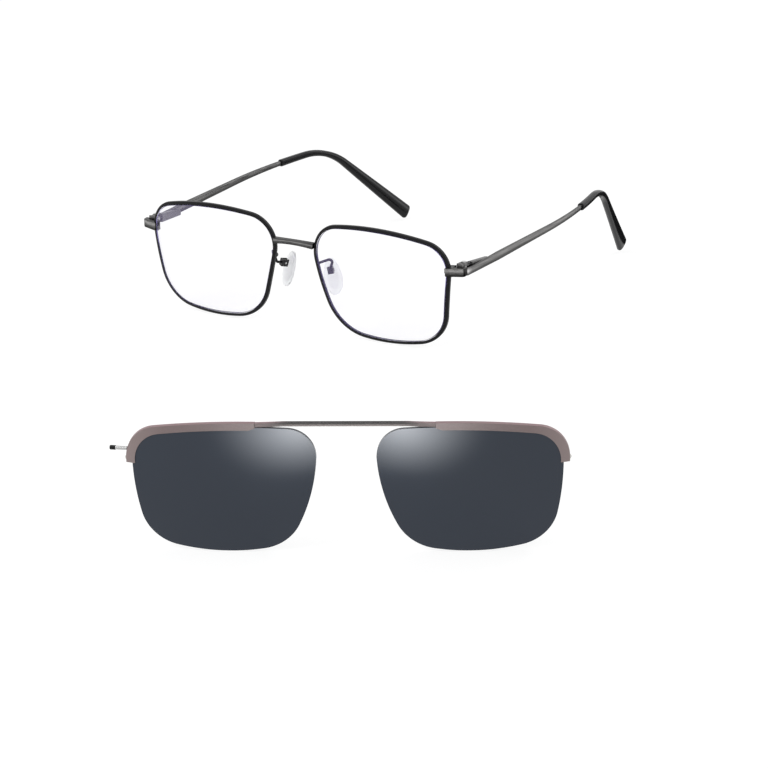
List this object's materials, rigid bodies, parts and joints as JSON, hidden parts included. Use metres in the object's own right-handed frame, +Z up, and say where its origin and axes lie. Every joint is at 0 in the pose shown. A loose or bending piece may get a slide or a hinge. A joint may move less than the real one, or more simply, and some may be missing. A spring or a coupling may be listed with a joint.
{
  "type": "spectacles with magnetic clip-on sun lenses",
  "caption": "Metal full-rim spectacles with spring hinges, shown beside their magnetic clip-on tinted lenses on a slim top bar.",
  "frame": {"origin": "the middle of the bridge bar", "axes": "+X to the wearer's left, +Y back along the temples, +Z up"},
  "size_m": [0.2765, 0.3674, 0.0428],
  "materials": {
    "rim_black": "satin black lacquer",
    "gunmetal": "satin gunmetal",
    "screw_steel": "turned steel",
    "magnet": "nickel plated magnet",
    "clear_lens": "clear, blue-violet coating",
    "sun_lens": "dark slate tint",
    "clip_taupe": "satin taupe",
    "tip_black": "gloss black",
    "silicone": "milky silicone",
    "pad_core": "matt"
  },
  "bodies": {
    "front": {"bridge": "gunmetal", "left_rim": "rim_black", "left_lens": "clear_lens", "left_end_piece": "gunmetal", "left_rim_lock": "gunmetal", "left_lock_screw": "screw_steel", "left_frame_magnet": "magnet", "left_pad_arm": "gunmetal", "left_pad_box": "gunmetal", "left_pad_screw": "screw_steel", "left_hinge_front": "gunmetal", "left_hinge_screw": "screw_steel", "right_rim": "rim_black", "right_lens": "clear_lens", "right_end_piece": "gunmetal", "right_rim_lock": "gunmetal", "right_lock_screw": "screw_steel", "right_frame_magnet": "magnet", "right_pad_arm": "gunmetal", "right_pad_box": "gunmetal", "right_pad_screw": "screw_steel", "right_hinge_front": "gunmetal", "right_hinge_screw": "screw_steel"},
    "clip": {"clip_bar": "clip_taupe", "left_clip_lens": "sun_lens", "left_clip_magnet": "magnet", "left_clip_rail": "clip_taupe", "right_clip_lens": "sun_lens", "right_clip_magnet": "magnet", "right_clip_rail": "clip_taupe", "right_clip_hook": "screw_steel", "right_clip_hook_tip": "tip_black"},
    "left_pad": {"left_pad_insert": "pad_core", "left_nose_pad": "silicone"},
    "left_carriage": {"left_hinge_carriage": "screw_steel", "left_hinge_spring": "screw_steel"},
    "left_temple": {"left_spring_box": "gunmetal", "left_spring_plug": "gunmetal", "left_temple": "gunmetal", "left_temple_tip": "tip_black"},
    "right_pad": {"right_pad_insert": "pad_core", "right_nose_pad": "silicone"},
    "right_carriage": {"right_hinge_carriage": "screw_steel", "right_hinge_spring": "screw_steel"},
    "right_temple": {"right_spring_box": "gunmetal", "right_spring_plug": "gunmetal", "right_temple": "gunmetal", "right_temple_tip": "tip_black"}
  },
  "joints": [
    {"name": "left_temple_fold", "type": "hinge", "parent": "front", "child": "left_carriage", "pos_m": [0.0667, 0.00791, -0.00202], "axis": [0, 0, 1], "range_deg": [-8, 80]},
    {"name": "left_temple_spring", "type": "slide", "parent": "left_carriage", "child": "left_temple", "axis": [0, 1, 0], "range_m": [0, 0.0008], "stiffness_N_per_m": 2000},
    {"name": "left_pad_rock", "type": "hinge", "parent": "front", "child": "left_pad", "pos_m": [0.01016, 0.00844, -0.01054], "axis": [0.8592, 0.4802, 0.1767], "range_deg": [-8, 8]},
    {"name": "right_temple_fold", "type": "hinge", "parent": "front", "child": "right_carriage", "pos_m": [-0.0667, 0.00791, -0.00202], "axis": [0, 0, -1], "range_deg": [-8, 62]},
    {"name": "right_temple_spring", "type": "slide", "parent": "right_carriage", "child": "right_temple", "axis": [0, 1, 0], "range_m": [0, 0.0008], "stiffness_N_per_m": 2000},
    {"name": "right_pad_rock", "type": "hinge", "parent": "front", "child": "right_pad", "pos_m": [-0.01016, 0.00844, -0.01054], "axis": [0.8592, -0.4802, -0.1767], "range_deg": [-8, 8]},
    {"name": "clip_on", "type": "hinge", "parent": "front", "child": "clip", "pos_m": [0.4246, 0.1874, 0], "axis": [0, 0, -1], "range_deg": [0, 29.7]}
  ]
}
